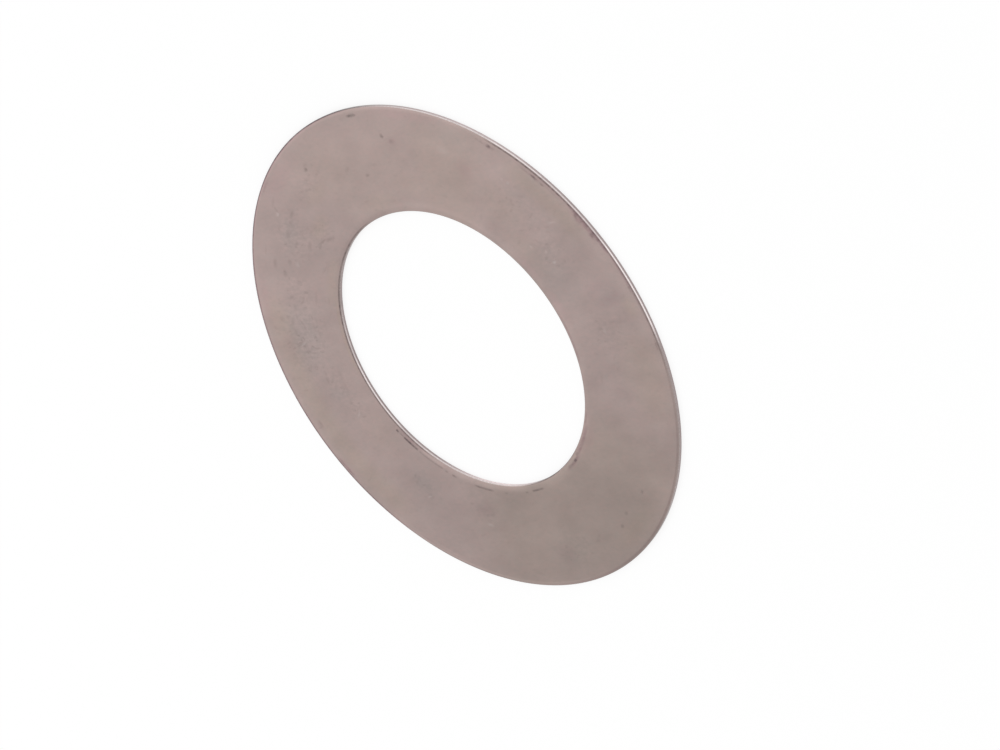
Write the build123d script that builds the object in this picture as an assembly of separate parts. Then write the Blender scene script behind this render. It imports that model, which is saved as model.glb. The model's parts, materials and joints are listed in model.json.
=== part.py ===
from build123d import *
from math import atan2, degrees
import os

# A shim ring, blanked from hard-rolled steel strip in one stroke of a compound die.
# It lies flat. The origin is on the bore's axis in the under face, and +Z comes up through
# the face on which both cut edges are drawn over. All lengths are in millimetres.

# --- the ring ----------------------------------------------------------------------
outside_diameter = 35.0  # over the burnished band of the rim
bore_diameter = 20.05  # across the burnished band of the bore
strip_thickness = 0.30  # from the under face to the upper face

# --- the drawn-over shoulders, wider round the bore than at the rim ----------------
rim_roll_width = 0.30  # how far the shoulder reaches across the upper face
rim_roll_depth = 0.055  # how far it drops from the upper face
bore_roll_width = 0.50
bore_roll_depth = 0.065
roll_corner_radius = 0.035  # the tight turn where a shoulder meets its burnished band

# --- the cut below them, alike at the rim and round the bore -----------------------
burnished_height = 0.05  # the smooth band that the tool rubbed square to the faces
die_clearance = 0.025  # how far the torn band falls back between its top and its foot
edge_break = 0.02  # the burr's corner on the under face, tumbled to this chamfer


def drawn_over_shoulder(burnished_top, into_metal, roll_width, roll_depth):
    """The shoulder's outline, from the top of the burnished band onto the upper face.

    It is a tight arc and a flat one, tangent to the band, to each other and to the face.
    """
    flat_radius = (roll_width**2 + roll_depth**2 - 2 * roll_width * roll_corner_radius) / (
        2 * (roll_depth - roll_corner_radius)
    )
    tight_turn = degrees(atan2(flat_radius - roll_depth, roll_width - roll_corner_radius))
    tight_arc = JernArc(burnished_top, (0, 1), roll_corner_radius, -into_metal * tight_turn)
    flat_arc = JernArc(tight_arc @ 1, tight_arc % 1, flat_radius, -into_metal * (90 - tight_turn))
    return tight_arc + flat_arc


def blanked_edge(edge_radius, into_metal, roll_width, roll_depth):
    """Outline of one cut edge, from the under face up and over onto the upper face.

    edge_radius is the radius of the burnished band. into_metal is -1 at the rim, where the
    metal lies towards the axis, and +1 at the bore, where it lies away from it.
    """
    torn_foot_radius = edge_radius + into_metal * die_clearance
    under_face_radius = torn_foot_radius + into_metal * edge_break
    burnished_top = strip_thickness - roll_depth
    cut = Polyline(
        (under_face_radius, 0),
        (torn_foot_radius, edge_break),
        (edge_radius, burnished_top - burnished_height),
        (edge_radius, burnished_top),
    )
    return cut + drawn_over_shoulder(cut @ 1, into_metal, roll_width, roll_depth)


def ring_section():
    """Half section of the ring, in the XZ plane on the +X side of the axis."""
    rim = blanked_edge(outside_diameter / 2, -1, rim_roll_width, rim_roll_depth)
    bore = blanked_edge(bore_diameter / 2, 1, bore_roll_width, bore_roll_depth)
    under_face = Line(bore @ 0, rim @ 0)
    upper_face = Line(rim @ 1, bore @ 1)
    return Plane.XZ * make_face(rim + upper_face + bore + under_face)


def shim_ring():
    """The whole ring, turned from its half section as one solid."""
    return revolve(ring_section(), axis=Axis.Z)


os.makedirs("parts", exist_ok=True)
export_step(shim_ring(), "parts/shim_ring.step")
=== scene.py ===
"""Looks of a blanked steel shim ring that lies flat on a pale floor.

The ring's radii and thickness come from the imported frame. Its cut edge, its rolled and stained
faces, the studio and the camera are described below in millimetres and degrees, and everything
is built in metres, in the frame's own axes.
"""

import json
import logging
import math
from dataclasses import dataclass
from enum import IntEnum

import bpy
import numpy as np
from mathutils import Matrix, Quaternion, Vector


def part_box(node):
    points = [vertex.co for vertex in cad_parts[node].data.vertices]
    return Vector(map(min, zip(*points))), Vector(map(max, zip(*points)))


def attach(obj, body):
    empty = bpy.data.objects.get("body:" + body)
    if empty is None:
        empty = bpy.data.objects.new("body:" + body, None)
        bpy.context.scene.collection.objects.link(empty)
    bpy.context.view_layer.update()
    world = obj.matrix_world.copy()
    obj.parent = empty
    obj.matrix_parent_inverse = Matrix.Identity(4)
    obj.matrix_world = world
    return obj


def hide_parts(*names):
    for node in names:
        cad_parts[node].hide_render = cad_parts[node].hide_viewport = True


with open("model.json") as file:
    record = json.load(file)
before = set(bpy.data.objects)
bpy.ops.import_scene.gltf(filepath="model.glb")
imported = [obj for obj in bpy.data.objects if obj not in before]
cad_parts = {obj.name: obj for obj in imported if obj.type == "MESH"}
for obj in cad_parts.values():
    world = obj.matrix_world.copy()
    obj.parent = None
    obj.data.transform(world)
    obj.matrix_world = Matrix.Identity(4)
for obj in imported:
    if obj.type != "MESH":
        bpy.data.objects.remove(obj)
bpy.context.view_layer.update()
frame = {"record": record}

LOG = logging.getLogger("shim_ring")
MM = 0.001
NODE = "shim_ring"

Socket = bpy.types.NodeSocket
Colour = tuple[float, float, float]
Point = tuple[float, float, float]
ORIGIN: Point = (0.0, 0.0, 0.0)


# --- drawing node trees ----------------------------------------------------------------


class Graph:
    """A node tree being drawn: it adds nodes, fills their sockets and joins them."""

    def __init__(self, tree: bpy.types.NodeTree) -> None:
        """Start on a tree.

        Args:
            tree: the shader node tree, of a material, a world or a group.
        """
        self.tree = tree

    @classmethod
    def empty(cls, owner: bpy.types.Material | bpy.types.World) -> "Graph":
        """Start on the emptied tree of a material or a world.

        Args:
            owner: the material or the world.

        Returns:
            Its graph.
        """
        owner.use_nodes = True
        owner.node_tree.nodes.clear()
        return cls(owner.node_tree)

    def add(self, kind: str, sockets: dict | None = None, **settings: object) -> bpy.types.Node:
        """Add one node.

        Args:
            kind: the node's type, without the word ShaderNode.
            sockets: values or output sockets for its inputs, by name or by index.
            settings: the node's own properties.

        Returns:
            The new node.
        """
        node = self.tree.nodes.new("ShaderNode" + kind)
        for name, value in settings.items():
            setattr(node, name, value)
        for key, value in (sockets or {}).items():
            self.feed(node.inputs[key], value)
        return node

    def feed(self, socket: Socket, value: object) -> None:
        """Give an input its value, or join it to an output.

        Args:
            socket: the input.
            value: an output socket, a number, a vector or a colour.
        """
        if isinstance(value, bpy.types.NodeSocket):
            self.tree.links.new(value, socket)
        elif socket.type == "RGBA" and len(value) == 3:
            socket.default_value = (*value, 1.0)
        else:
            socket.default_value = value

    def math(self, operation: str, *values: object) -> Socket:
        """One scalar sum.

        Args:
            operation: the Math node's operation.
            values: its operands, numbers or sockets.

        Returns:
            The result's socket.
        """
        return self.add("Math", dict(enumerate(values)), operation=operation).outputs[0]

    def vector(self, operation: str, *values: object) -> Socket:
        """One vector sum, like math but with the Vector Math node."""
        return self.add("VectorMath", dict(enumerate(values)), operation=operation).outputs[0]

    def grow(self, value: object, share: object, start: object) -> Socket:
        """A start to which a share of the value is added."""
        return self.math("MULTIPLY_ADD", value, share, start)

    def dot(self, first: object, second: object) -> Socket:
        """The dot product of two vectors."""
        sockets = {0: first, 1: second}
        return self.add("VectorMath", sockets, operation="DOT_PRODUCT").outputs["Value"]

    def scale(self, vector: object, factor: object) -> Socket:
        """A vector or a colour times a number."""
        sockets = {0: vector, "Scale": factor}
        return self.add("VectorMath", sockets, operation="SCALE").outputs[0]

    def ramp(self, value: object, low: object, high: object, top: object = 1.0) -> Socket:
        """A mask that eases from 0 at low to its top at high.

        Args:
            value: the number that is mapped.
            low: where the mask is 0.
            high: where the mask is at its top; it may be less than low.
            top: how far the mask rises.

        Returns:
            The mask's socket.
        """
        sockets = {0: value, 1: low, 2: high, 3: 0.0, 4: top}
        shape = {"interpolation_type": "SMOOTHSTEP", "clamp": False}
        return self.add("MapRange", sockets, **shape).outputs[0]

    def mix(self, mask: object, first: object, second: object, blend: str = "MIX") -> Socket:
        """Blend two colours.

        Args:
            mask: the share of the second, from 0 to 1.
            first: the colour below.
            second: the colour above.
            blend: the Mix node's way of blending.

        Returns:
            The blended colour's socket.
        """
        sockets = {0: mask, 6: first, 7: second}
        return self.add("Mix", sockets, data_type="RGBA", blend_type=blend).outputs[2]

    def fog(self, place: object, scale: float, detail: float = 2.0, **more: float) -> Socket:
        """Plain cloudy noise about 0.5.

        Args:
            place: the point at which it is read.
            scale: how many clouds lie along one unit.
            detail: how many finer octaves it has.
            more: other inputs of the Noise Texture node.

        Returns:
            The noise value's socket.
        """
        sockets = {"Vector": place, "Scale": scale, "Detail": detail, **more}
        return self.add("TexNoise", sockets).outputs["Fac"]

    def shaken(
        self, place: object, onto: object, scale: float, reach: float, **more: float
    ) -> Socket:
        """A flat place moved a little to and fro, which breaks up the outlines drawn on it.

        Args:
            place: the point at which the noise is read.
            onto: the point that is moved.
            scale: how many waves of noise lie along one unit.
            reach: the noise's full swing.
            more: other inputs of the Noise Texture node.

        Returns:
            The moved point's socket.
        """
        sockets = {"Vector": place, "Scale": scale, **more}
        noise = self.add("TexNoise", sockets).outputs["Color"]
        swing = self.vector("SUBTRACT", noise, (0.5, 0.5, 0.5))
        return self.vector("MULTIPLY_ADD", swing, (reach, reach, 0.0), onto)

    def drawn_out(self, place: object, turn: object, stretch: object) -> Socket:
        """A place turned and squeezed, so that noise read there runs out along one axis."""
        sockets = {"Vector": place, "Rotation": turn, "Scale": stretch}
        return self.add("Mapping", sockets, vector_type="TEXTURE").outputs[0]

    def bump(self, height: object, relief: float) -> Socket:
        """The normal of a height whose step from 0 to 1 is the relief, in millimetres."""
        sockets = {"Height": height, "Distance": relief * MM, "Strength": 1.0}
        return self.add("Bump", sockets).outputs[0]


class Effect:
    """A shader node group that several finishes place with their own values.

    The inputs give each socket's name and the value it starts from, and the outputs each
    socket's name and kind.
    """

    name = "effect"
    inputs: dict[str, float | Point] = {}
    outputs: dict[str, str] = {}

    @classmethod
    def tree(cls) -> bpy.types.NodeTree:
        """The group's tree, built the first time that it is asked for.

        Returns:
            The tree.
        """
        found = bpy.data.node_groups.get(cls.name)
        if found:
            return found
        tree = bpy.data.node_groups.new(cls.name, "ShaderNodeTree")
        for label, value in cls.inputs.items():
            kind = "NodeSocketFloat" if isinstance(value, float) else "NodeSocketVector"
            socket = tree.interface.new_socket(label, in_out="INPUT", socket_type=kind)
            socket.default_value = value
        for label, kind in cls.outputs.items():
            tree.interface.new_socket(label, in_out="OUTPUT", socket_type="NodeSocket" + kind)
        start = tree.nodes.new("NodeGroupInput")
        end = tree.nodes.new("NodeGroupOutput")
        results = cls.draw(Graph(tree), start.outputs)
        for label, socket in results.items():
            tree.links.new(socket, end.inputs[label])
        return tree

    @classmethod
    def draw(cls, graph: Graph, given: bpy.types.NodeOutputs) -> dict[str, Socket]:
        """Draw the group's inside.

        Args:
            graph: the group's tree.
            given: the group's inputs.

        Returns:
            The sockets that feed the group's outputs, by the outputs' names.
        """
        raise NotImplementedError

    @classmethod
    def place(cls, graph: Graph, **values: object) -> bpy.types.NodeOutputs:
        """Put the group into a finish.

        Args:
            graph: the finish's tree.
            values: its inputs, by name, with underscores for spaces.

        Returns:
            The placed group's outputs.
        """
        node = graph.tree.nodes.new("ShaderNodeGroup")
        node.node_tree = cls.tree()
        for name, value in values.items():
            graph.feed(node.inputs[name.replace("_", " ")], value)
        return node.outputs


class RingPlace(Effect):
    """Where a point lies on the ring: in millimetres, and by its angle round the axis."""

    name = "ring_place"
    outputs = {"Place": "Vector", "Flat Place": "Vector", "Radius": "Float", "Angle": "Float"}

    @classmethod
    def draw(cls, graph: Graph, given: bpy.types.NodeOutputs) -> dict[str, Socket]:
        """Read the object's own coordinates and turn them into polar ones, in degrees.

        Args:
            graph: the group's tree.
            given: the group's inputs; not used.

        Returns:
            The place, the place without its height, the radius and the angle, by name.
        """
        at = graph.add("TexCoord").outputs["Object"]
        place = graph.vector("MULTIPLY", at, (1 / MM, 1 / MM, 1 / MM))
        flat = graph.vector("MULTIPLY", place, (1.0, 1.0, 0.0))
        parts = graph.add("SeparateXYZ", {0: place}).outputs
        radius = graph.add("VectorMath", {0: flat}, operation="LENGTH").outputs["Value"]
        angle = graph.math("DEGREES", graph.math("ARCTAN2", parts[1], parts[0]))
        return {"Place": place, "Flat Place": flat, "Radius": radius, "Angle": angle}


class Spot(Effect):
    """A soft-edged oval on the ring's face.

    Along and Across point down its two axes, and are one over its half length and half width
    long, so that a point on the outline is one away from the middle.
    """

    name = "spot"
    inputs = {
        "Place": ORIGIN,
        "Middle": ORIGIN,
        "Along": (1.0, 0.0, 0.0),
        "Across": (0.0, 1.0, 0.0),
        "Inner": 0.5,
        "Outer": 1.5,
        "Strength": 1.0,
    }
    outputs = {"Mask": "Float"}

    @classmethod
    def draw(cls, graph: Graph, given: bpy.types.NodeOutputs) -> dict[str, Socket]:
        """Fade from the inner share of the outline to the outer one.

        Args:
            graph: the group's tree.
            given: the group's inputs.

        Returns:
            The mask, by name.
        """
        away = graph.vector("SUBTRACT", given["Place"], given["Middle"])
        along = graph.dot(away, given["Along"])
        across = graph.dot(away, given["Across"])
        square = graph.grow(across, across, graph.math("MULTIPLY", along, along))
        reach = graph.math("SQRT", square)
        return {"Mask": graph.ramp(reach, given["Outer"], given["Inner"], top=given["Strength"])}


class Band(Effect):
    """A soft-edged line or band that follows the ring round for part of a turn."""

    name = "band"
    inputs = {
        "Radius": 0.0,
        "Angle": 0.0,
        "Middle Angle": 0.0,
        "Full Turn": 8.0,
        "Half Turn": 10.0,
        "At Radius": 14.0,
        "Inner": 0.05,
        "Outer": 0.15,
        "Strength": 1.0,
    }
    outputs = {"Mask": "Float"}

    @classmethod
    def draw(cls, graph: Graph, given: bpy.types.NodeOutputs) -> dict[str, Socket]:
        """Multiply a window of the angle by a window of the radius.

        Args:
            graph: the group's tree.
            given: the group's inputs.

        Returns:
            The mask, by name.
        """
        turn = graph.math("SUBTRACT", given["Angle"], given["Middle Angle"])
        turn = graph.math("ABSOLUTE", graph.math("WRAP", turn, 180.0, -180.0))
        round_it = graph.ramp(turn, given["Half Turn"], given["Full Turn"], top=given["Strength"])
        across = graph.math("ABSOLUTE", graph.math("SUBTRACT", given["Radius"], given["At Radius"]))
        over_it = graph.ramp(across, given["Outer"], given["Inner"])
        return {"Mask": graph.math("MULTIPLY", round_it, over_it)}


class Mottle(Effect):
    """Uneven tone of rolled steel in broad, middling and fine clouds, about zero."""

    name = "mottle"
    inputs = {
        "Place": ORIGIN,
        "Turn": ORIGIN,
        "Stretch": (1.7, 1.0, 1.0),
        "Broad": 0.3,
        "Middling": 1.1,
        "Fine": 4.5,
    }
    outputs = {"Broad Tone": "Float", "Middling Tone": "Float", "Fine Tone": "Float"}
    shifts = {"Broad": 3.7, "Middling": 21.4, "Fine": 57.9}
    roughness = 0.55

    @classmethod
    def draw(cls, graph: Graph, given: bpy.types.NodeOutputs) -> dict[str, Socket]:
        """Three sizes of noise, each moved so that they don't line up.

        Args:
            graph: the group's tree.
            given: the group's inputs.

        Returns:
            The three tones, by name.
        """
        drawn = graph.drawn_out(given["Place"], given["Turn"], given["Stretch"])
        tones = {}
        for label, shift in cls.shifts.items():
            moved = graph.vector("ADD", drawn, (shift, -shift, 0.5 * shift))
            cloud = graph.fog(moved, given[label], Roughness=cls.roughness)
            tones[label + " Tone"] = graph.grow(cloud, 2.0, -1.0)
        return tones


class Grain(Effect):
    """Fine lines drawn out in one direction, as rolls or tools leave them, about zero."""

    name = "grain"
    inputs = {"Place": ORIGIN, "Turn": ORIGIN, "Stretch": (14.0, 1.0, 1.0), "Lines": 9.0}
    outputs = {"Tone": "Float"}
    roughness = 0.6

    @classmethod
    def draw(cls, graph: Graph, given: bpy.types.NodeOutputs) -> dict[str, Socket]:
        """Noise on coordinates that are turned and squeezed.

        Args:
            graph: the group's tree.
            given: the group's inputs.

        Returns:
            The tone, by name.
        """
        drawn = graph.drawn_out(given["Place"], given["Turn"], given["Stretch"])
        lines = graph.fog(drawn, given["Lines"], Roughness=cls.roughness)
        return {"Tone": graph.grow(lines, 2.0, -1.0)}


class Pitting(Effect):
    """Scattered small pits, of which Cover is the share of places that hold one."""

    name = "pitting"
    inputs = {
        "Place": ORIGIN,
        "Turn": ORIGIN,
        "Stretch": (1.8, 1.0, 1.0),
        "Spacing": 2.6,
        "Size": 0.34,
        "Cover": 0.34,
    }
    outputs = {"Mask": "Float"}
    wobble_scale = 5.0
    wobble_reach = 0.3

    @classmethod
    def draw(cls, graph: Graph, given: bpy.types.NodeOutputs) -> dict[str, Socket]:
        """Cells with ragged outlines, each with its own size and chance.

        Args:
            graph: the group's tree.
            given: the group's inputs.

        Returns:
            The mask, by name.
        """
        drawn = graph.drawn_out(given["Place"], given["Turn"], given["Stretch"])
        at = graph.shaken(given["Place"], drawn, cls.wobble_scale, cls.wobble_reach, Detail=1.0)
        sockets = {"Vector": at, "Scale": given["Spacing"]}
        cells = graph.add("TexVoronoi", sockets, voronoi_dimensions="2D")
        lot = graph.add("SeparateColor", {0: cells.outputs["Color"]}).outputs
        size = graph.math("MULTIPLY", given["Size"], graph.math("ADD", 0.5, lot[1]))
        pit = graph.math("SUBTRACT", 1.0, graph.ramp(cells.outputs["Distance"], 0.0, size))
        held = graph.math("LESS_THAN", lot[0], given["Cover"])
        return {"Mask": graph.math("MULTIPLY", pit, held)}


# --- marks that lie where they do ------------------------------------------------------


@dataclass(frozen=True)
class Mark:
    """An oval spot, dash or cloud, placed on the face.

    The angle and the tilt are in degrees, the other sizes in millimetres. The length runs
    round the ring and the width across it; the tilt turns the length outwards.
    """

    angle: float
    radius: float
    length: float
    width: float
    strength: float
    tilt: float = 0.0
    softness: float = 0.8

    def mask(self, graph: Graph, where: bpy.types.NodeOutputs, place: Socket) -> Socket:
        """The mark's mask.

        Args:
            graph: the finish's tree.
            where: the ring place group's outputs; not used.
            place: the flat place, moved a little here and there to roughen outlines.

        Returns:
            The mask's socket.
        """
        angle = math.radians(self.angle)
        turn = angle + math.pi / 2 - math.radians(self.tilt)
        along = Vector((math.cos(turn), math.sin(turn), 0.0)) / (self.length / 2)
        across = Vector((-math.sin(turn), math.cos(turn), 0.0)) / (self.width / 2)
        return Spot.place(
            graph,
            Place=place,
            Middle=(self.radius * math.cos(angle), self.radius * math.sin(angle), 0.0),
            Along=along,
            Across=across,
            Inner=1.0 - self.softness,
            Outer=1.0 + self.softness,
            Strength=self.strength,
        )["Mask"]


@dataclass(frozen=True)
class Arc:
    """A band that follows an edge round, from one angle in degrees to another.

    The radius and the width are in millimetres, and the fade is how many degrees each end
    takes to die away.
    """

    start: float
    end: float
    radius: float
    width: float
    strength: float
    fade: float = 1.0
    softness: float = 0.6

    def mask(self, graph: Graph, where: bpy.types.NodeOutputs, place: Socket) -> Socket:
        """The band's mask.

        Args:
            graph: the finish's tree.
            where: the ring place group's outputs.
            place: the flat place, which a band doesn't need.

        Returns:
            The mask's socket.
        """
        return Band.place(
            graph,
            Radius=where["Radius"],
            Angle=where["Angle"],
            Middle_Angle=(self.start + self.end) / 2,
            Full_Turn=(self.end - self.start) / 2 - self.fade,
            Half_Turn=(self.end - self.start) / 2,
            At_Radius=self.radius,
            Inner=self.width / 2 * (1.0 - self.softness),
            Outer=self.width / 2 * (1.0 + self.softness),
            Strength=self.strength,
        )["Mask"]


@dataclass(frozen=True)
class Cloud(Mark):
    """A mark that fades nearly all the way out from its middle."""

    softness: float = 0.9


@dataclass(frozen=True)
class Sweep(Arc):
    """An arc that fades nearly all the way across."""

    softness: float = 0.9


Patches = tuple[Mark | Arc, ...]


def together(graph: Graph, marks: Patches, where: bpy.types.NodeOutputs, place: Socket) -> Socket:
    """One mask of many marks and arcs, the strongest at each point.

    Args:
        graph: the finish's tree.
        marks: the marks and arcs.
        where: the ring place group's outputs.
        place: the flat place, a little ragged.

    Returns:
        The mask's socket.
    """
    total = marks[0].mask(graph, where, place)
    for mark in marks[1:]:
        total = graph.math("MAXIMUM", total, mark.mask(graph, where, place))
    return total


# Dark pits, dots and streaks on the upper face, quarter by quarter.
PITS = (
    Mark(5.2, 15.38, 0.3, 0.26, 0.52), Mark(4.4, 15.62, 0.45, 0.25, 0.14),
    Mark(10.4, 14.5, 0.35, 0.2, 0.12), Mark(8.0, 14.6, 0.5, 0.16, 0.07, 20),
    Mark(21.3, 14.72, 0.6, 0.2, 0.29), Mark(24.3, 14.6, 0.28, 0.25, 0.17),
    Mark(22.3, 16.3, 0.75, 0.18, 0.14, -8), Mark(23.6, 15.95, 0.45, 0.2, 0.16, -60),
    Mark(16.5, 16.2, 1.0, 0.12, 0.07, 25), Mark(37.3, 16.3, 0.7, 0.18, 0.1),
    Mark(39.7, 15.5, 0.65, 0.3, 0.2), Mark(41.3, 14.68, 0.45, 0.3, 0.28),
    Mark(37.0, 14.25, 0.34, 0.3, 0.21), Mark(35.9, 14.55, 0.5, 0.12, 0.09, 55),
    Mark(28.6, 14.6, 0.6, 0.26, 0.2), Mark(27.2, 14.45, 0.35, 0.18, 0.12),
    Mark(29.6, 13.8, 0.3, 0.22, 0.22), Mark(25.6, 13.45, 0.6, 0.2, 0.09, -50),
    Mark(27.2, 12.8, 0.6, 0.26, 0.17), Mark(31.0, 12.75, 0.4, 0.3, 0.09),
    Mark(22.6, 11.95, 0.95, 0.15, 0.28, 22), Mark(19.2, 11.5, 0.75, 0.2, 0.26, 30),
    Mark(17.8, 11.3, 0.5, 0.2, 0.16), Mark(24.8, 12.0, 0.5, 0.18, 0.24, 5),
    Mark(26.0, 10.5, 0.5, 0.15, 0.1, 25), Mark(33.0, 11.35, 0.8, 0.16, 0.13, 20),
    Mark(31.5, 11.1, 1.0, 0.14, 0.07), Mark(32.8, 13.25, 0.6, 0.14, 0.09, 40),
    Mark(34.4, 13.15, 0.25, 0.15, 0.09), Mark(48.5, 14.35, 0.45, 0.18, 0.2, 50),
    Mark(51.4, 14.15, 0.35, 0.2, 0.11), Mark(49.0, 13.4, 0.4, 0.14, 0.21, 50),
    Mark(47.5, 13.25, 0.4, 0.14, 0.16, 25), Mark(47.6, 12.95, 0.3, 0.12, 0.12),
    Mark(45.8, 12.1, 0.9, 0.16, 0.12, 8), Mark(45.2, 11.0, 0.6, 0.16, 0.09),
    Mark(50.3, 11.0, 0.6, 0.14, 0.07, 30), Mark(55.2, 11.75, 0.7, 0.2, 0.07),
    Mark(55.8, 15.65, 0.35, 0.3, 0.14), Mark(58.5, 16.5, 0.3, 0.4, 0.12),
    Mark(60.0, 16.35, 0.2, 0.4, 0.1), Mark(54.0, 14.2, 0.5, 0.16, 0.12),
    Mark(56.0, 13.85, 0.5, 0.16, 0.19, -35), Mark(57.5, 13.7, 0.3, 0.2, 0.15),
    Mark(56.5, 14.75, 0.5, 0.2, 0.14, 40), Mark(59.0, 14.7, 0.45, 0.25, 0.15),
    Mark(62.2, 14.55, 0.6, 0.12, 0.25, 65), Mark(63.0, 14.75, 0.5, 0.12, 0.22, 65),
    Mark(61.0, 14.15, 0.3, 0.14, 0.19), Mark(64.0, 15.4, 0.35, 0.14, 0.15, 60),
    Mark(63.8, 13.2, 0.12, 0.5, 0.21), Mark(65.4, 13.7, 0.12, 0.4, 0.15),
    Mark(66.5, 14.2, 0.14, 0.4, 0.12), Mark(53.4, 12.8, 0.35, 0.16, 0.15),
    Mark(56.5, 12.85, 0.5, 0.22, 0.12), Mark(58.8, 12.5, 0.5, 0.18, 0.12),
    Mark(63.0, 12.5, 0.5, 0.2, 0.1), Mark(69.6, 14.6, 0.5, 0.14, 0.1, 45),
    Mark(74.0, 13.55, 0.5, 0.25, 0.19), Mark(72.0, 13.45, 0.35, 0.2, 0.14),
    Mark(78.3, 13.95, 0.14, 0.45, 0.12), Mark(79.0, 12.8, 0.4, 0.14, 0.1, 60),
    Mark(73.0, 12.1, 0.9, 0.3, 0.09), Mark(77.5, 12.2, 0.7, 0.3, 0.1),
    Mark(75.3, 16.1, 0.12, 0.5, 0.12), Mark(84.0, 16.6, 0.4, 0.2, 0.16),
    Mark(84.8, 16.85, 0.14, 0.5, 0.12), Mark(83.2, 14.2, 0.3, 0.5, 0.06),
    Mark(86.0, 12.5, 0.6, 0.14, 0.1, 55), Mark(85.2, 12.1, 0.5, 0.14, 0.09, 50),
    Mark(101.3, 16.2, 0.12, 0.7, 0.11), Mark(104.8, 15.2, 0.12, 0.5, 0.07),
    Mark(112.3, 12.7, 0.16, 0.3, 0.25), Mark(113.4, 12.65, 0.3, 0.4, 0.09),
    Mark(119.5, 13.45, 0.45, 0.14, 0.16, -50), Mark(118.5, 13.35, 0.4, 0.14, 0.12, -50),
    Mark(96.8, 12.4, 0.16, 0.5, 0.07), Mark(121.8, 12.1, 0.2, 0.4, 0.07),
    Mark(137.3, 14.45, 0.5, 0.14, 0.1, -35), Mark(134.2, 11.4, 0.3, 0.7, 0.07),
    Mark(138.5, 12.3, 0.9, 0.16, 0.09), Mark(136.5, 12.6, 0.16, 0.6, 0.07),
    Mark(140.5, 11.6, 0.5, 0.5, 0.06), Mark(153.5, 16.6, 0.7, 0.2, 0.11, 15),
    Mark(152.0, 16.35, 0.6, 0.2, 0.07), Mark(151.0, 15.95, 0.5, 0.2, 0.07),
    Mark(177.8, 15.2, 0.4, 0.2, 0.14), Mark(179.3, 14.95, 0.3, 0.2, 0.11),
    Mark(188.4, 15.45, 0.3, 0.22, 0.48), Mark(192.8, 15.12, 0.3, 0.2, 0.4),
    Mark(202.8, 15.37, 0.3, 0.2, 0.38), Cloud(184.2, 14.7, 0.7, 0.4, 0.09),
    Mark(249.5, 13.25, 0.4, 0.14, 0.1, -40), Mark(251.0, 13.2, 0.3, 0.14, 0.12, -40),
    Mark(242.0, 13.3, 0.4, 0.14, 0.09, 40), Mark(238.5, 13.3, 0.3, 0.14, 0.09),
    Mark(252.5, 15.1, 0.6, 0.14, 0.09, 30), Mark(234.5, 11.75, 0.8, 0.2, 0.09, 10),
    Mark(281.8, 16.1, 0.14, 0.4, 0.09), Mark(286.3, 14.3, 0.14, 0.4, 0.15),
    Mark(292.2, 13.95, 0.3, 0.2, 0.12), Mark(293.0, 14.1, 0.2, 0.3, 0.12),
    Mark(292.0, 13.4, 0.35, 0.16, 0.15, -60), Mark(297.0, 14.4, 0.2, 0.3, 0.11),
    Mark(286.8, 12.6, 0.4, 0.14, 0.11, -50), Mark(281.5, 12.85, 0.3, 0.14, 0.1),
    Mark(285.7, 11.6, 0.16, 0.4, 0.12), Mark(301.2, 11.4, 0.2, 0.4, 0.09),
    Mark(317.0, 12.3, 0.3, 0.14, 0.09), Mark(315.6, 11.65, 0.4, 0.2, 0.12),
    Cloud(325.5, 14.3, 0.6, 0.7, 0.06), Mark(334.0, 15.4, 0.26, 0.28, 0.46),
    Mark(331.4, 15.0, 0.34, 0.24, 0.2), Mark(341.0, 17.03, 0.62, 0.2, 0.95),
    Mark(341.0, 13.5, 0.45, 0.16, 0.11), Mark(345.4, 12.92, 0.32, 0.2, 0.34),
    Mark(351.7, 13.75, 0.5, 0.22, 0.15, -20), Mark(352.0, 11.35, 0.4, 0.14, 0.1),
)

# Patches where small pits crowd together.
PITTED = (
    Mark(60.0, 13.9, 5.6, 3.2, 1.0, 15, 0.7), Mark(28.0, 14.2, 3.0, 2.4, 1.0),
    Mark(46.0, 13.6, 2.2, 2.2, 0.8), Mark(77.0, 12.7, 2.6, 2.2, 0.8),
    Mark(86.0, 12.4, 1.8, 1.4, 0.8), Mark(117.0, 12.8, 1.8, 1.6, 0.6),
    Mark(138.5, 12.2, 2.2, 1.8, 0.6), Mark(276.0, 13.2, 3.2, 2.2, 0.55),
    Mark(250.0, 13.6, 2.4, 2.8, 0.5), Mark(290.0, 14.0, 4.0, 2.6, 0.34),
    Mark(20.0, 12.2, 2.4, 1.2, 0.8), Mark(8.0, 14.6, 3.0, 1.4, 0.6),
    Mark(168.0, 15.2, 3.0, 2.0, 0.6),
)

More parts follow.
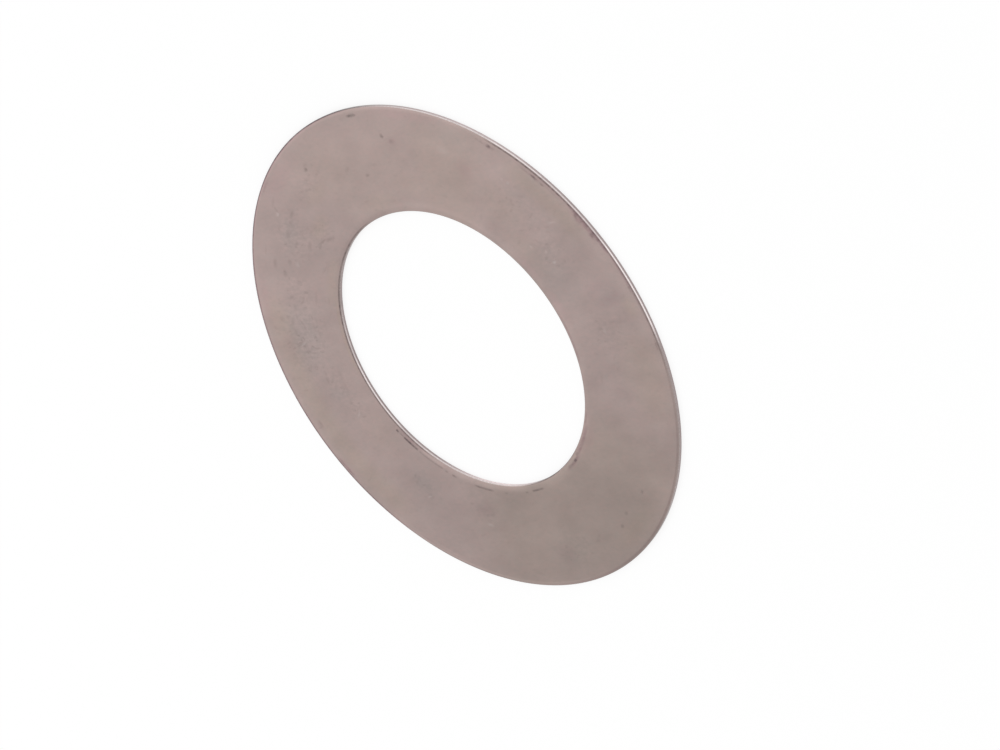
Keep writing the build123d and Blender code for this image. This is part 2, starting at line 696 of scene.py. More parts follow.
# Dirt packed against the two drawn-over shoulders, and blots that spread from it.
EDGE_DIRT = (
    Arc(98.6, 100.3, 10.5, 0.18, 0.62, 0.5), Arc(100.0, 104.0, 10.48, 0.12, 0.24),
    Arc(102.4, 110.2, 10.48, 0.17, 0.56), Arc(110.0, 122.0, 10.5, 0.14, 0.2),
    Arc(122.2, 124.4, 10.55, 0.16, 0.24), Arc(125.5, 128.2, 10.58, 0.15, 0.34),
    Arc(135.4, 145.4, 10.57, 0.15, 0.36, 2.0), Arc(150.0, 151.6, 10.6, 0.1, 0.2, 0.5),
    Arc(160.0, 162.0, 10.55, 0.12, 0.24, 0.7), Arc(163.6, 170.6, 10.52, 0.13, 0.42, 1.5),
    Arc(188.0, 197.0, 10.4, 0.13, 0.2, 2.0), Arc(192.8, 195.2, 10.4, 0.18, 0.54, 0.8),
    Mark(189.6, 10.36, 0.3, 0.16, 0.26), Mark(197.4, 10.28, 0.34, 0.18, 0.3),
    Arc(196.0, 209.0, 10.34, 0.16, 0.1, 2.0), Mark(271.0, 17.3, 0.3, 0.2, 0.22),
    Mark(272.4, 17.2, 0.34, 0.3, 0.27), Mark(274.3, 17.25, 0.3, 0.26, 0.18),
    Mark(276.0, 17.24, 0.18, 0.3, 0.22), Mark(277.6, 17.2, 0.3, 0.34, 0.24),
    Mark(287.5, 17.06, 0.3, 0.14, 0.25), Mark(289.8, 17.07, 0.46, 0.16, 0.46),
    Mark(292.6, 17.06, 0.6, 0.13, 0.1), Mark(301.0, 17.06, 0.25, 0.18, 0.14),
    Mark(302.1, 17.03, 0.3, 0.2, 0.48), Mark(304.2, 17.06, 0.3, 0.16, 0.17),
    Mark(305.3, 17.1, 0.3, 0.14, 0.12), Mark(94.0, 17.22, 0.5, 0.16, 0.16),
    Mark(97.0, 17.2, 0.5, 0.18, 0.2), Mark(259.0, 17.2, 0.5, 0.16, 0.2),
    Mark(245.5, 17.25, 0.6, 0.14, 0.22),
)

# Dried oil, purple where it is thin.
OIL = (
    Arc(196.0, 214.0, 10.27, 0.26, 0.34, 5.0), Arc(202.0, 210.0, 10.36, 0.3, 0.12, 4.0),
    Arc(186.0, 199.0, 10.42, 0.22, 0.22, 3.0), Arc(236.0, 262.0, 10.2, 0.16, 0.22, 8.0),
    Arc(266.5, 281.0, 17.34, 0.24, 0.42, 2.5), Arc(280.0, 297.0, 17.22, 0.3, 0.1, 5.0),
    Arc(98.0, 113.0, 10.28, 0.34, 0.15, 3.0), Arc(-20.0, 12.0, 17.47, 0.12, 0.34, 10.0),
    Arc(0.0, 64.0, 17.46, 0.13, 0.42, 6.0), Arc(36.0, 122.0, 17.42, 0.2, 0.28, 12.0),
    Arc(248.0, 268.0, 17.32, 0.16, 0.22, 6.0), Arc(150.0, 214.0, 17.38, 0.16, 0.11, 10.0),
    Mark(273.8, 17.18, 1.5, 0.24, 0.22), Mark(272.4, 17.12, 0.7, 0.34, 0.28),
    Mark(276.8, 17.1, 0.6, 0.4, 0.28), Mark(290.0, 17.05, 1.2, 0.24, 0.24),
    Mark(302.2, 17.0, 0.8, 0.26, 0.18), Mark(95.5, 17.18, 1.6, 0.24, 0.24),
    Mark(120.5, 17.15, 1.2, 0.2, 0.14), Mark(20.0, 17.24, 1.4, 0.2, 0.22),
    Cloud(139.0, 12.2, 1.7, 1.1, 0.1), Cloud(164.8, 15.4, 1.6, 1.2, 0.1),
    Cloud(308.2, 14.2, 0.9, 0.7, 0.08), Cloud(258.0, 15.2, 0.7, 2.2, 0.12, -8),
    Mark(331.3, 15.0, 0.6, 0.5, 0.12), Mark(84.2, 16.7, 0.6, 0.4, 0.16),
    Cloud(63.0, 15.6, 1.6, 0.8, 0.06, 20),
)

# Painted shade: the dark line just inside each cut edge, where the shoulder meets the tight corner
# and mirrors darker surroundings.
EDGE_SHADE_LINE = (
    Arc(-190.0, -112.0, 17.36, 0.13, 0.15, 20.0), Arc(-128.0, -52.0, 17.395, 0.11, 0.4, 16.0),
    Arc(-86.0, -55.0, 17.385, 0.12, 0.5, 5.0), Arc(-20.0, 12.0, 17.475, 0.1, 0.6, 10.0),
    Arc(-2.0, 40.0, 17.47, 0.1, 0.62, 5.0), Arc(24.0, 118.0, 17.435, 0.14, 0.3, 14.0),
    Arc(114.0, 150.0, 17.465, 0.1, 0.24, 12.0), Arc(-6.0, 36.0, 10.12, 0.11, 0.42, 12.0),
    Arc(18.0, 122.0, 10.125, 0.11, 0.5, 14.0), Arc(160.0, 184.0, 10.055, 0.07, 0.5, 5.0),
    Arc(184.0, 206.0, 10.1, 0.1, 0.1, 8.0), Arc(212.0, 219.0, 10.18, 0.12, 0.2, 2.0),
)

# Patches with a cast of their own. Each tuple is multiplied in with its colour.
# The broad tarnish is partly painted shade: it darkens one side of the face, where less light
# falls, as well as staining it.
TARNISH_AND_SHADE = (
    Arc(126.0, 232.0, 13.75, 9.0, 1.0, 26.0), Sweep(140.0, 225.0, 11.2, 3.2, 1.2, 24.0),
    Cloud(2.0, 14.8, 5.0, 3.4, 0.34), Cloud(12.0, 15.2, 3.0, 2.8, 0.2),
)
BLUE_CAST = (
    Cloud(167.0, 15.2, 3.6, 2.4, 0.6), Cloud(60.0, 14.0, 5.0, 2.8, 0.9, 15),
    Cloud(27.5, 14.4, 1.8, 1.2, 0.9), Cloud(115.0, 12.7, 1.9, 1.2, 0.9),
    Cloud(269.0, 12.3, 3.8, 2.4, 0.8), Cloud(260.0, 15.2, 1.4, 2.2, 0.6),
    Cloud(312.0, 16.3, 3.0, 1.4, 0.5), Cloud(79.0, 13.2, 0.9, 1.6, 0.8),
)
OLIVE_CAST = (
    Arc(36.0, 78.0, 10.32, 0.22, 1.0, 10.0, 0.8), Sweep(46.0, 118.0, 15.9, 1.8, 0.9, 10.0),
    Arc(22.0, 50.0, 10.62, 0.8, 0.7, 8.0, 0.8), Sweep(316.0, 372.0, 13.2, 6.0, 0.35, 16.0),
    Sweep(222.0, 252.0, 15.8, 2.6, 0.8, 10.0), Sweep(298.0, 332.0, 13.4, 7.0, 0.7, 12.0),
    Sweep(270.0, 300.0, 16.3, 1.5, 0.8, 8.0), Cloud(96.0, 12.0, 2.6, 2.6, 0.35),
    Cloud(18.0, 12.5, 2.0, 1.0, 0.8), Cloud(8.0, 13.8, 2.6, 1.0, 0.6),
    Cloud(103.5, 16.0, 1.4, 2.2, 0.6), Cloud(255.0, 16.5, 1.2, 1.0, 0.8),
    Cloud(283.0, 11.6, 3.4, 1.6, 0.45), Cloud(297.0, 13.2, 3.6, 2.8, 0.5),
    Cloud(329.0, 12.0, 4.0, 1.8, 0.6), Cloud(347.0, 11.0, 3.6, 1.4, 0.7),
    Cloud(192.0, 16.2, 4.0, 1.2, 0.5), Cloud(238.0, 14.6, 3.0, 1.8, 0.5),
)
ROSE_CAST = (
    Arc(-14.0, 120.0, 17.4, 0.2, 1.0, 14.0, 0.8), Arc(194.0, 222.0, 10.28, 0.34, 1.0, 5.0, 0.8),
    Arc(255.0, 292.0, 17.36, 0.26, 0.8, 8.0, 0.8), Cloud(16.0, 16.5, 3.4, 1.2, 0.8),
    Cloud(50.0, 16.8, 3.0, 0.8, 0.8), Cloud(324.0, 17.0, 5.0, 0.7, 0.9),
    Cloud(63.0, 15.8, 2.0, 1.2, 0.6), Cloud(95.5, 17.2, 1.6, 0.5, 1.0),
    Cloud(207.0, 10.6, 2.4, 0.7, 0.9), Cloud(262.0, 10.6, 2.0, 0.6, 0.8),
    Cloud(278.0, 10.5, 1.6, 0.5, 0.8), Cloud(308.0, 14.3, 1.2, 1.4, 0.5),
    Cloud(262.0, 14.6, 1.0, 2.0, 0.6), Cloud(200.0, 10.4, 2.6, 0.3, 1.0),
    Cloud(276.0, 17.2, 2.0, 0.5, 1.0),
)

# Parts of the face made lighter: partly the steel's uneven tone, partly painted light on the side
# of the face where more light falls.
BRIGHTER_TONE_AND_LIGHT = (
    Sweep(18.0, 120.0, 16.8, 4.0, 0.95, 26.0), Sweep(270.0, 342.0, 16.6, 3.6, 0.9, 26.0),
    Sweep(216.0, 256.0, 12.8, 8.0, 0.5, 12.0), Sweep(290.0, 350.0, 11.6, 3.0, 0.5, 20.0),
    Sweep(232.0, 284.0, 11.2, 3.0, 0.6, 10.0), Cloud(60.0, 13.5, 5.0, 3.6, 0.7),
    Sweep(242.0, 308.0, 17.0, 1.4, 0.9, 12.0), Sweep(80.0, 136.0, 16.3, 2.6, 0.75, 14.0),
    Sweep(276.0, 296.0, 13.75, 8.0, 0.8, 7.0), Sweep(332.0, 366.0, 11.0, 1.8, 0.75, 10.0),
    Cloud(144.0, 11.2, 2.2, 1.6, 0.45), Sweep(184.0, 218.0, 11.2, 3.0, 0.45, 8.0),
)

# Painted highlight: lengths of the two drawn-over shoulders made lighter where they would catch the
# light.
SHOULDER_HIGHLIGHT = (
    Arc(106.0, 126.0, 10.22, 0.42, 0.6, 8.0, 0.8), Arc(120.0, 166.0, 10.25, 0.5, 0.45, 10.0, 0.8),
    Arc(170.0, 192.0, 10.38, 0.5, 0.34, 5.0, 0.8), Arc(108.0, 134.0, 17.12, 0.24, 0.25, 6.0, 0.8),
    Arc(104.0, 176.0, 17.34, 0.22, 0.55, 14.0, 0.7), Arc(38.0, 76.0, 10.3, 0.16, 0.22, 10.0, 0.8),
    Arc(34.0, 112.0, 17.2, 0.4, 0.14, 14.0, 0.8), Arc(228.0, 352.0, 10.26, 0.8, 0.26, 14.0, 0.8),
    Arc(184.0, 220.0, 10.24, 0.56, 0.26, 8.0, 0.8),
)

# Small bright rubs.
RUBS = (
    Mark(273.7, 12.78, 0.2, 0.26, 0.27), Mark(140.5, 13.4, 0.5, 0.2, 0.12),
    Mark(250.0, 13.35, 0.4, 0.2, 0.09), Mark(280.9, 15.15, 0.65, 0.12, 0.11, -60),
    Mark(24.6, 15.72, 0.3, 0.2, 0.18), Mark(297.0, 15.2, 0.2, 0.2, 0.08),
    Mark(295.3, 15.25, 0.2, 0.2, 0.1), Mark(36.5, 13.6, 0.4, 0.3, 0.1),
    Cloud(315.0, 15.1, 0.8, 0.5, 0.08), Mark(277.3, 12.8, 0.2, 0.2, 0.11),
    Mark(281.9, 12.1, 0.25, 0.16, 0.13), Mark(86.8, 12.6, 0.6, 0.14, 0.12, 55),
    Mark(62.7, 14.35, 0.5, 0.1, 0.11, 65), Mark(118.8, 13.55, 0.4, 0.1, 0.14, -50),
)

# Painted highlight along the burnished and the torn bands, where they would mirror the light, at
# the rim and then round the bore.
BURNISH_HIGHLIGHT = (
    Arc(-116.0, -84.0, 17.5, 2.0, 1.0, 8.0), Arc(-104.0, -18.0, 17.5, 2.0, 0.62, 22.0),
    Arc(-77.0, -52.0, 17.5, 2.0, 0.85, 8.0), Arc(58.0, 110.0, 10.0, 2.0, 1.0, 16.0),
    Arc(42.0, 172.0, 10.0, 2.0, 0.55, 20.0),
)
TEAR_HIGHLIGHT = (
    Arc(-86.0, -18.0, 17.5, 2.0, 0.5, 34.0), Arc(116.0, 182.0, 10.0, 2.0, 0.95, 30.0),
)

# And where both are black with dirt.
EDGE_GRIME = (
    Arc(-29.0, 28.0, 17.5, 2.0, 0.96, 17.0), Arc(20.0, 112.0, 17.5, 2.0, 0.38, 14.0),
    Arc(170.0, 206.0, 17.5, 2.0, 0.25, 10.0), Arc(50.0, 110.0, 10.0, 2.0, 0.14, 16.0),
    Arc(166.0, 206.0, 10.0, 2.0, 0.95, 12.0),
)


# --- finishes --------------------------------------------------------------------------


@dataclass(frozen=True)
class Tint:
    """A colour that is multiplied in where its patches lie."""

    patches: Patches
    colour: Colour


# The tarnish also paints shade; the last two tints paint light, a lighter side of the face and
# highlights on the shoulders.
TINTS = (
    Tint(TARNISH_AND_SHADE, (0.885, 0.905, 0.87)),
    Tint(BLUE_CAST, (0.945, 0.98, 0.985)),
    Tint(OLIVE_CAST, (0.98, 0.985, 0.94)),
    Tint(ROSE_CAST, (1.02, 0.975, 0.995)),
    Tint(BRIGHTER_TONE_AND_LIGHT, (1.08, 1.08, 1.08)),
    Tint(SHOULDER_HIGHLIGHT, (1.26, 1.26, 1.26)),
)


@dataclass(frozen=True)
class MillFinish:
    """The dull satin skin of cold-rolled strip, mottled and lightly pitted.

    The rolling direction is in degrees and the grain's relief in millimetres. The tones, the
    drifts and the other plain numbers are shares of a cloud or of a mask.
    """

    name: str
    marked: bool
    steel: Colour = (0.386, 0.303, 0.286)
    stain: Colour = (0.200, 0.165, 0.155)
    dirt_and_shade: Colour = (0.075, 0.058, 0.060)
    oil: Colour = (0.215, 0.120, 0.145)
    rubbed: Colour = (0.66, 0.60, 0.58)
    rolling: float = 76.0
    grain_relief: float = 0.0008
    roughness: float = 0.42
    cloud_roughness: float = 0.06
    pit_roughness: float = 0.2
    pit_depth: float = 0.06
    crowd_depth: float = 0.22
    crowd_crinkle: float = 0.13
    mark_wear: float = 1.1
    broad_tone: float = 0.16
    middling_tone: float = 0.085
    fine_tone: float = 0.045
    broad_drift: float = 0.3
    middling_drift: float = -0.35
    warm_drift: float = 0.034
    cool_drift: float = -0.022
    ragged_scale: float = 4.5
    ragged_reach: float = 0.26

    def material(self) -> bpy.types.Material:
        """Draw the finish, with its listed marks where it is marked.

        Returns:
            The material.
        """
        material, graph, shader = new_material(self.name)
        where = RingPlace.place(graph)
        face = where["Flat Place"]
        rolled = (0.0, 0.0, math.radians(self.rolling))
        mottle = Mottle.place(graph, Place=face, Turn=rolled)
        colour = self.toned(graph, mottle)
        pits = Pitting.place(graph, Place=face, Turn=rolled)["Mask"]
        if self.marked:
            colour, pits = self.stains_and_painted_light(graph, colour, pits, mottle, where)
        else:
            pits = graph.math("MULTIPLY", pits, self.pit_depth)
        grain = Grain.place(graph, Place=face, Turn=rolled)["Tone"]
        rough = graph.grow(mottle["Middling Tone"], self.cloud_roughness, self.roughness)
        graph.feed(shader.inputs["Base Color"], graph.mix(pits, colour, self.stain))
        graph.feed(shader.inputs["Roughness"], graph.grow(pits, self.pit_roughness, rough))
        graph.feed(shader.inputs["Normal"], graph.bump(grain, self.grain_relief))
        return material

    def toned(self, graph: Graph, mottle: bpy.types.NodeOutputs) -> Socket:
        """The steel's colour with its uneven tone, and a faint drift of hue.

        Args:
            graph: the finish's tree.
            mottle: the mottle group's outputs.

        Returns:
            The colour's socket.
        """
        broad, middling, fine = mottle["Broad Tone"], mottle["Middling Tone"], mottle["Fine Tone"]
        tone = graph.grow(broad, self.broad_tone, 1.0)
        tone = graph.grow(middling, self.middling_tone, tone)
        tone = graph.grow(fine, self.fine_tone, tone)
        drift = graph.grow(broad, self.broad_drift, fine)
        drift = graph.grow(middling, self.middling_drift, drift)
        warm = graph.grow(drift, self.warm_drift, 1.0)
        cool = graph.grow(drift, self.cool_drift, 1.0)
        hue = graph.add("CombineXYZ", {0: warm, 1: cool, 2: cool}).outputs[0]
        return graph.vector("MULTIPLY", graph.scale(hue, tone), self.steel)

    def stains_and_painted_light(
        self,
        graph: Graph,
        colour: Socket,
        pits: Socket,
        mottle: bpy.types.NodeOutputs,
        where: bpy.types.NodeOutputs,
    ) -> tuple[Socket, Socket]:
        """Add the listed patches, pits, dirt, oil and rubs, with the painted shade and highlights
        among them.

        Args:
            graph: the finish's tree.
            colour: the steel's colour.
            pits: the scattered pits' mask.
            mottle: the mottle group's outputs.
            where: the ring place group's outputs.

        Returns:
            The colour's socket and the socket of all the pits' mask.
        """
        face = where["Flat Place"]
        ragged = {"Detail": 3.0, "Roughness": 0.7}
        place = graph.shaken(face, face, self.ragged_scale, self.ragged_reach, **ragged)
        crowd = together(graph, PITTED, where, place)
        crinkle = graph.math("MULTIPLY", crowd, mottle["Fine Tone"])
        colour = graph.scale(colour, graph.grow(crinkle, self.crowd_crinkle, 1.0))
        for tint in TINTS:
            mask = together(graph, tint.patches, where, place)
            colour = graph.mix(mask, colour, tint.colour, blend="MULTIPLY")
        worn = graph.grow(mottle["Fine Tone"], self.mark_wear, 1.0)
        # The dirt along the shoulders and the painted shade of the dark edge lines share one dark
        # colour.
        marks, edge, oil = (
            graph.math("MULTIPLY", together(graph, kind, where, place), worn)
            for kind in (PITS, EDGE_DIRT + EDGE_SHADE_LINE, OIL)
        )
        colour = graph.mix(oil, colour, self.oil)
        colour = graph.mix(edge, colour, self.dirt_and_shade)
        colour = graph.mix(together(graph, RUBS, where, place), colour, self.rubbed)
        pits = graph.math("MULTIPLY", pits, graph.grow(crowd, self.crowd_depth, self.pit_depth))
        return colour, graph.math("MAXIMUM", pits, marks)


@dataclass(frozen=True)
class CutFinish:
    """Sheared metal, streaked up and down the edge, with a painted highlight along parts of it.

    The relief is in millimetres. The last six are the grime's colour, how the streaks are drawn
    out, how much finer the specks are, and how strongly specks, tone and gloss follow them.
    """

    name: str
    dull: Colour
    clean: Colour
    highlight_arcs: tuple[Arc, ...]
    roughness: float
    streaks: float
    relief: float
    grime: Colour = (0.09, 0.066, 0.07)
    streak_stretch: Point = (1.0, 1.0, 8.0)
    speck_fineness: float = 2.5
    speck_share: float = 0.6
    streak_tone: float = 0.22
    streak_roughness: float = 0.12

    def material(self) -> bpy.types.Material:
        """Draw the finish.

        Returns:
            The material.
        """
        material, graph, shader = new_material(self.name)
        where = RingPlace.place(graph)
        place = where["Place"]
        clean = together(graph, self.highlight_arcs, where, where["Flat Place"])
        grimed = together(graph, EDGE_GRIME, where, where["Flat Place"])
        # Painted highlight: the lighter colour is laid on the arcs where the band would mirror the
        # light.
        colour = graph.mix(clean, self.dull, self.clean)
        colour = graph.mix(grimed, colour, self.grime)
        drawn = {"Stretch": self.streak_stretch, "Lines": self.streaks}
        lines = Grain.place(graph, Place=place, **drawn)["Tone"]
        specks = graph.grow(graph.fog(place, self.speck_fineness * self.streaks), 2.0, -1.0)
        both = graph.math("ADD", lines, graph.math("MULTIPLY", specks, self.speck_share))
        rough = graph.grow(both, self.streak_roughness, self.roughness)
        colour = graph.scale(colour, graph.grow(both, self.streak_tone, 1.0))
        graph.feed(shader.inputs["Base Color"], colour)
        graph.feed(shader.inputs["Roughness"], rough)
        graph.feed(shader.inputs["Normal"], graph.bump(both, self.relief))
        return material


def new_material(name: str) -> tuple[bpy.types.Material, Graph, bpy.types.Node]:
    """A metal material whose Principled shader still lacks its colour.

    Args:
        name: the material's name.

    Returns:
        The material, its graph and its shader node.
    """
    material = bpy.data.materials.new(name)
    graph = Graph.empty(material)
    shader = graph.add("BsdfPrincipled")
    shader.inputs["Metallic"].default_value = 1.0
    graph.add("OutputMaterial", {"Surface": shader.outputs[0]})
    return material, graph, shader


# --- the ring --------------------------------------------------------------------------


class Zone(IntEnum):
    """The parts of the ring's surface, each with its own finish, in slot order."""

    UPPER_FACE = 0
    UNDER_FACE = 1
    BURNISHED = 2
    TORN = 3
    BREAK = 4


FINISHES: dict[Zone, MillFinish | CutFinish] = {
    Zone.UPPER_FACE: MillFinish(name="upper_skin", marked=True),
    Zone.UNDER_FACE: MillFinish(name="under_skin", marked=False),
    # The lighter of each cut band's two colours is its painted highlight.
    Zone.BURNISHED: CutFinish(
        name="burnished_band",
        dull=(0.38, 0.32, 0.31),
        clean=(0.96, 0.87, 0.86),
        highlight_arcs=BURNISH_HIGHLIGHT,
        roughness=0.24,
        streaks=6.0,
        relief=0.001,
    ),
    Zone.TORN: CutFinish(
        name="torn_band",
        dull=(0.44, 0.365, 0.36),
        clean=(0.88, 0.76, 0.76),
        highlight_arcs=TEAR_HIGHLIGHT,
        roughness=0.55,
        streaks=7.0,
        relief=0.003,
    ),
    Zone.BREAK: CutFinish(
        name="tumbled_corner",
        dull=(0.17, 0.13, 0.13),
        clean=(0.34, 0.28, 0.28),
        highlight_arcs=TEAR_HIGHLIGHT,
        roughness=0.4,
        streaks=6.0,
        relief=0.001,
    ),
}

# Radius and height of a point of the section, and the zone of the strip that follows it.
SectionPoint = tuple[float, float, Zone]


class Side(IntEnum):
    """The two cut edges. The number is the way that the metal lies from each."""

    RIM = -1
    BORE = 1


@dataclass(frozen=True)
class BlankedEdge:
    """Sizes of one cut edge, in metres, and the seed of its tear."""

    side: Side
    roll_width: float
    roll_depth: float
    tear_seed: int
    roll_corner_radius: float = 0.035 * MM
    burnished_height: float = 0.05 * MM
    die_clearance: float = 0.025 * MM
    edge_break: float = 0.02 * MM
    corner_steps: int = 6
    shoulder_steps: int = 9
    burnished_steps: int = 2
    torn_steps: int = 6

    def shoulder(self) -> tuple[float, float]:
        """The drawn-over shoulder's flat arc, which touches the face and the tight corner.

        Returns:
            Its radius, and the angle in radians at which the tight corner gives way to it.
        """
        tight = self.roll_corner_radius
        reach = self.roll_width**2 + self.roll_depth**2 - 2 * self.roll_width * tight
        flat = reach / (2 * (self.roll_depth - tight))
        return flat, math.atan2(flat - self.roll_depth, self.roll_width - tight)

    def outline(self, edge_radius: float, thickness: float) -> list[SectionPoint]:
        """Points of the edge's section, from the under face up and over onto the upper one.

        Args:
            edge_radius: radius of the burnished band.
            thickness: the strip's thickness.

        Returns:
            The points.
        """
        inward = float(self.side)
        tight = self.roll_corner_radius
        flat, turn = self.shoulder()
        burnished_top = thickness - self.roll_depth
        burnished_foot = burnished_top - self.burnished_height
        foot_radius = edge_radius + inward * self.die_clearance
        points = [(foot_radius + inward * self.edge_break, 0.0, Zone.BREAK)]
        for step in range(self.torn_steps):
            share = step / self.torn_steps
            radius = foot_radius + share * (edge_radius - foot_radius)
            height = self.edge_break + share * (burnished_foot - self.edge_break)
            points.append((radius, height, Zone.TORN))
        for step in range(self.burnished_steps):
            height = burnished_foot + self.burnished_height * step / self.burnished_steps
            points.append((edge_radius, height, Zone.BURNISHED))
        for step in range(self.corner_steps):
            angle = turn * step / self.corner_steps
            radius = edge_radius + inward * tight * (1 - math.cos(angle))
            points.append((radius, burnished_top + tight * math.sin(angle), Zone.BURNISHED))
        for step in range(self.shoulder_steps + 1):
            angle = turn + (math.pi / 2 - turn) * step / self.shoulder_steps
            radius = edge_radius + inward * (self.roll_width - flat * math.cos(angle))
            height = thickness - flat + flat * math.sin(angle)
            points.append((radius, height, Zone.UPPER_FACE))
        return points


@dataclass
class ShimRing:
    """The ring itself, one closed mesh that stands for the solid.

    Sizes are in metres. The waves are the fewest and the most in one turn.
    """

    outer_radius: float
    bore_radius: float
    thickness: float
    rim_edge: BlankedEdge = BlankedEdge(Side.RIM, 0.30 * MM, 0.055 * MM, tear_seed=11)
    bore_edge: BlankedEdge = BlankedEdge(Side.BORE, 0.50 * MM, 0.065 * MM, tear_seed=12)
    segments: int = 1440
    upper_steps: int = 10
    under_steps: int = 4
    sharp_angle: float = 30.0
    tear_wave: float = 0.014 * MM
    tear_waves: tuple[int, int] = (12, 150)
    relief: float = 0.008 * MM
    relief_waves: tuple[int, int] = (60, 700)
    relief_margin: float = 0.12

    def section(self) -> list[SectionPoint]:
        """The closed section, from the bore's foot out along the under face and round.

        Returns:
            The points.
        """
        rim = self.rim_edge.outline(self.outer_radius, self.thickness)
        bore = self.bore_edge.outline(self.bore_radius, self.thickness)
        under = self.flat(bore[0], rim[0], self.under_steps, Zone.UNDER_FACE)
        upper = self.flat(rim[-1], bore[-1], self.upper_steps, Zone.UPPER_FACE)
        down = [(*bore[i][:2], bore[i - 1][2]) for i in range(len(bore) - 1, 0, -1)]
        return under + rim[:-1] + upper + down

    @staticmethod
    def flat(start: SectionPoint, end: SectionPoint, steps: int, zone: Zone) -> list[SectionPoint]:
        """Evenly spaced points across one flat face, without the last.

        Args:
            start: the first point.
            end: the point to which the last strip leads.
            steps: how many strips lie between them.
            zone: the zone of those strips.

        Returns:
            The points.
        """
        run = end[0] - start[0]
        return [(start[0] + run * i / steps, start[1], zone) for i in range(steps)]

    def mesh(self) -> bpy.types.Mesh:
        """Turn the section about the axis and roughen its torn bands.

        Returns:
            The mesh, with one material slot's number on each face.
        """
        section = self.section()
        angles = np.linspace(0.0, 2 * math.pi, self.segments, endpoint=False)
        around = np.ones_like(angles)
        radii = np.outer([radius for radius, _, _ in section], around)
        heights = np.outer([height for _, height, _ in section], around)
        self.tear(self.rim_edge, self.outer_radius, radii, heights)
        self.tear(self.bore_edge, self.bore_radius, radii, heights)
        points = np.stack([radii * np.cos(angles), radii * np.sin(angles), heights], axis=-1)
        here = np.arange(radii.size).reshape(radii.shape)
        after = np.roll(here, -1, axis=0)
        corners = (here, np.roll(here, -1, axis=1), np.roll(after, -1, axis=1), after)
        faces = np.stack(corners, axis=-1).reshape(-1, 4)
        zones = np.repeat([int(zone) for _, _, zone in section], self.segments)
        mesh = bpy.data.meshes.new("ring_of_strip")
        mesh.from_pydata(points.reshape(-1, 3).tolist(), [], faces.tolist())
        mesh.polygons.foreach_set("material_index", zones.tolist())
        mesh.polygons.foreach_set("use_smooth", [True] * len(faces))
        mesh.set_sharp_from_angle(angle=math.radians(self.sharp_angle))
        mesh.update()
        return mesh

    def tear(
        self, edge: BlankedEdge, radius: float, radii: np.ndarray, heights: np.ndarray
    ) -> None:
        """Let one edge's tear line wander, and hollow its torn band unevenly into the metal.

        Args:
            edge: the cut edge's sizes.
            radius: radius of its burnished band.
            radii: radius of every point, changed in place.
            heights: height of every point, changed in place.
        """
        start = edge.edge_break
        top = self.thickness - edge.roll_depth
        foot = top - edge.burnished_height
        margin = self.relief_margin * (foot - start)
        near = np.abs(radii - radius) < 2 * (edge.die_clearance + edge.edge_break)
        lift = np.interp(heights, (start, foot, top), (0.0, 1.0, 0.0)) * near
        band = (start, start + margin, foot - margin, foot)
        hollow = np.interp(heights, band, (0.0, 1.0, 1.0, 0.0)) * near
        for row in np.flatnonzero(hollow[:, 0] > 0.0):
            wave = self.ragged_line(self.relief_waves, 100 * edge.tear_seed + int(row))
            radii[row] += float(edge.side) * self.relief * hollow[row] * (0.5 + 0.5 * wave)
        wander = self.tear_wave * self.ragged_line(self.tear_waves, edge.tear_seed)
        heights += lift * wander

    def ragged_line(self, waves: tuple[int, int], seed: int) -> np.ndarray:
        """A random wave right round the ring, between -1 and 1.

        Args:
            waves: the fewest and the most waves in one turn.
            seed: starts the random numbers.

        Returns:
            The wave at each segment.
        """
        fewest, most = waves
        phases = np.random.default_rng(seed).uniform(0.0, 2 * math.pi, most - fewest)
        spectrum = np.zeros(self.segments // 2 + 1, dtype=complex)
        spectrum[fewest:most] = np.exp(1j * phases) / np.sqrt(np.arange(fewest, most))
        line = np.fft.irfft(spectrum, self.segments)
        return line / np.abs(line).max()

    def build(self) -> bpy.types.Object:
        """Make the ring, give each zone its finish and set the ring in the frame.

        Returns:
            The ring's object.
        """
        mesh = self.mesh()
        for zone in Zone:
            mesh.materials.append(FINISHES[zone].material())
        ring = bpy.data.objects.new("shim_ring_skin", mesh)
        bpy.context.scene.collection.objects.link(ring)
        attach(ring, "root")
        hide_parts(NODE)
        return ring


# --- studio and camera -----------------------------------------------------------------


@dataclass(frozen=True)
class Softbox:
    """A square area lamp that points at the ring, in metres and watts."""

    name: str
    place: Point
    size: float
    power: float

    def build(self) -> bpy.types.Object:
        """Hang the lamp.

        Returns:
            The lamp's object.
        """
        lamp = bpy.data.lights.new(self.name, "AREA")
        lamp.shape = "SQUARE"
        lamp.size = self.size
        lamp.energy = self.power
        holder = bpy.data.objects.new(self.name, lamp)
        holder.location = self.place
        holder.rotation_euler = Vector(self.place).to_track_quat("Z", "Y").to_euler()
        bpy.context.scene.collection.objects.link(holder)
        return holder


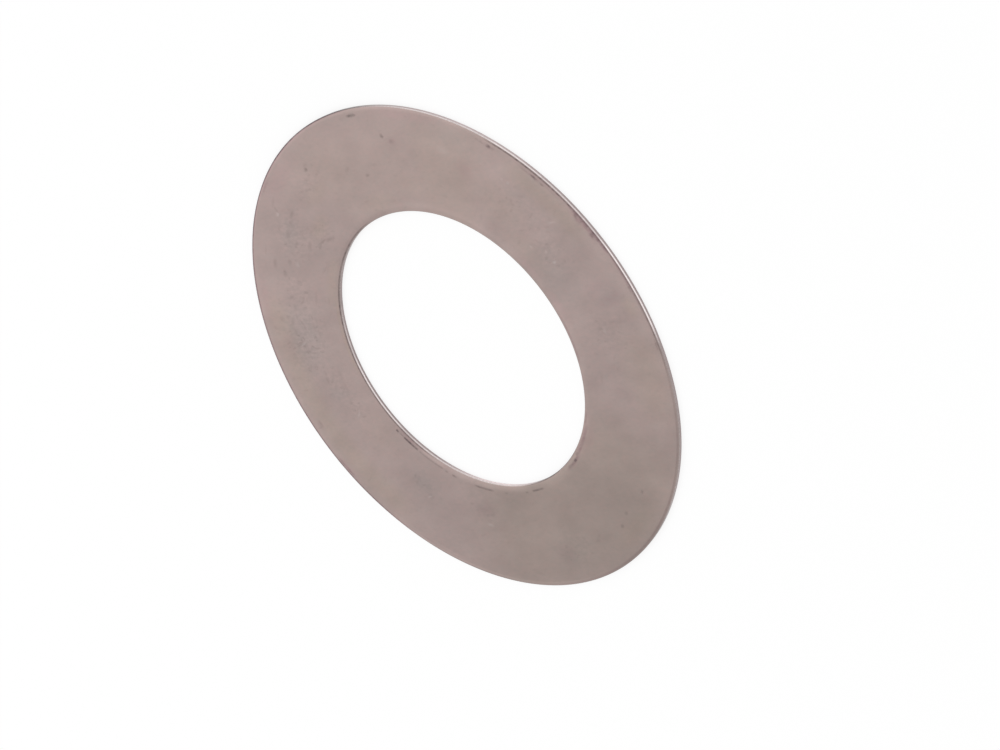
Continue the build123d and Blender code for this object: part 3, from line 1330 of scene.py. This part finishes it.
@dataclass(frozen=True)
class Studio:
    """A pale floor, an even room and a softbox.

    The paper is the floor's own grey. Where it is seen or mirrored, a fainter grey takes the
    shadows and a glow lifts it to white.
    """

    floor_size: float = 2.0
    floor_drop: float = 0.01 * MM
    paper: Colour = (0.85, 0.85, 0.85)
    faint: Colour = (0.22, 0.22, 0.22)
    glow: float = 0.8
    room_level: float = 0.86
    softbox: Softbox = Softbox("back_softbox", (0.16, 0.34, 0.34), 0.22, 0.16)

    def lay_floor(self) -> bpy.types.Object:
        """A flat pale sheet just under the ring, white where it is seen or mirrored.

        Returns:
            The floor's object.
        """
        half = self.floor_size / 2
        corners = [(-half, -half), (half, -half), (half, half), (-half, half)]
        mesh = bpy.data.meshes.new("floor")
        mesh.from_pydata([(x, y, -self.floor_drop) for x, y in corners], [], [(0, 1, 2, 3)])
        material = bpy.data.materials.new("pale_floor")
        graph = Graph.empty(material)
        path = graph.add("LightPath").outputs
        seen = graph.math("MAXIMUM", path["Is Camera Ray"], path["Is Glossy Ray"])
        seen = graph.math("MAXIMUM", seen, path["Is Transmission Ray"])
        paper = graph.add("BsdfDiffuse", {"Color": self.paper})
        faint = graph.add("BsdfDiffuse", {"Color": self.faint})
        glow = graph.add("Emission", {"Color": (1.0, 1.0, 1.0), "Strength": self.glow})
        white = graph.add("AddShader", {0: faint.outputs[0], 1: glow.outputs[0]})
        both = graph.add("MixShader", {0: seen, 1: paper.outputs[0], 2: white.outputs[0]})
        graph.add("OutputMaterial", {"Surface": both.outputs[0]})
        mesh.materials.append(material)
        floor = bpy.data.objects.new("floor", mesh)
        bpy.context.scene.collection.objects.link(floor)
        return floor

    def light_room(self) -> bpy.types.World:
        """An even pale room all round.

        Returns:
            The world.
        """
        world = bpy.data.worlds.new("room")
        graph = Graph.empty(world)
        room = graph.add("Background", {"Color": (1.0, 1.0, 1.0), "Strength": self.room_level})
        graph.add("OutputWorld", {"Surface": room.outputs[0]})
        bpy.context.scene.world = world
        return world

    def build(self) -> list[str]:
        """Lay the floor, light the room and hang the lamp.

        Returns:
            The names of what was made.
        """
        return [self.lay_floor().name, self.light_room().name, self.softbox.build().name]


@dataclass(frozen=True)
class ViewCamera:
    """A long lens on an orbit about a point of the floor, rolled about its own axis.

    Angles are in degrees, the lens in millimetres and the rest in metres.
    """

    aim: Point = (-2.82 * MM, -1.31 * MM, 0.0)
    distance: float = 349.16 * MM
    azimuth: float = 0.598
    elevation: float = 39.186
    roll: float = -127.68
    lens: float = 195.48
    clip_start: float = 0.01

    def build(self) -> bpy.types.Object:
        """Set the camera up and make it the scene's own.

        Returns:
            The camera's object.
        """
        azimuth, elevation = math.radians(self.azimuth), math.radians(self.elevation)
        level, height = math.cos(elevation), math.sin(elevation)
        outward = Vector((math.sin(azimuth) * level, -math.cos(azimuth) * level, height))
        facing = outward.to_track_quat("Z", "Y")
        data = bpy.data.cameras.new("view")
        data.lens = self.lens
        data.clip_start = self.clip_start
        camera = bpy.data.objects.new("view", data)
        camera.location = Vector(self.aim) + outward * self.distance
        camera.rotation_euler = (facing @ Quaternion((0, 0, 1), math.radians(self.roll))).to_euler()
        bpy.context.scene.collection.objects.link(camera)
        bpy.context.scene.camera = camera
        return camera


# --- putting it together ---------------------------------------------------------------


def bore_radius() -> float:
    """The bore's radius in metres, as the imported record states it."""
    bore = next(mount for mount in frame["record"]["mounts"] if mount["kind"] == "bore")
    return bore["dims"]["r_mm"] * MM


def main() -> None:
    """Build the camera, the studio and the ring, in that order."""
    logging.basicConfig(level=logging.INFO, format="%(name)s: %(message)s")
    bpy.context.scene.view_settings.view_transform = "Standard"
    camera = ViewCamera().build()
    LOG.info("camera %s at %s", camera.name, tuple(round(v, 4) for v in camera.location))
    LOG.info("studio: %s", ", ".join(Studio().build()))
    low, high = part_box(NODE)
    ring = ShimRing(
        outer_radius=high.x, bore_radius=bore_radius(), thickness=high.z - low.z
    ).build()
    LOG.info("%s has %d faces", ring.name, len(ring.data.polygons))


if __name__ == "__main__":
    main()
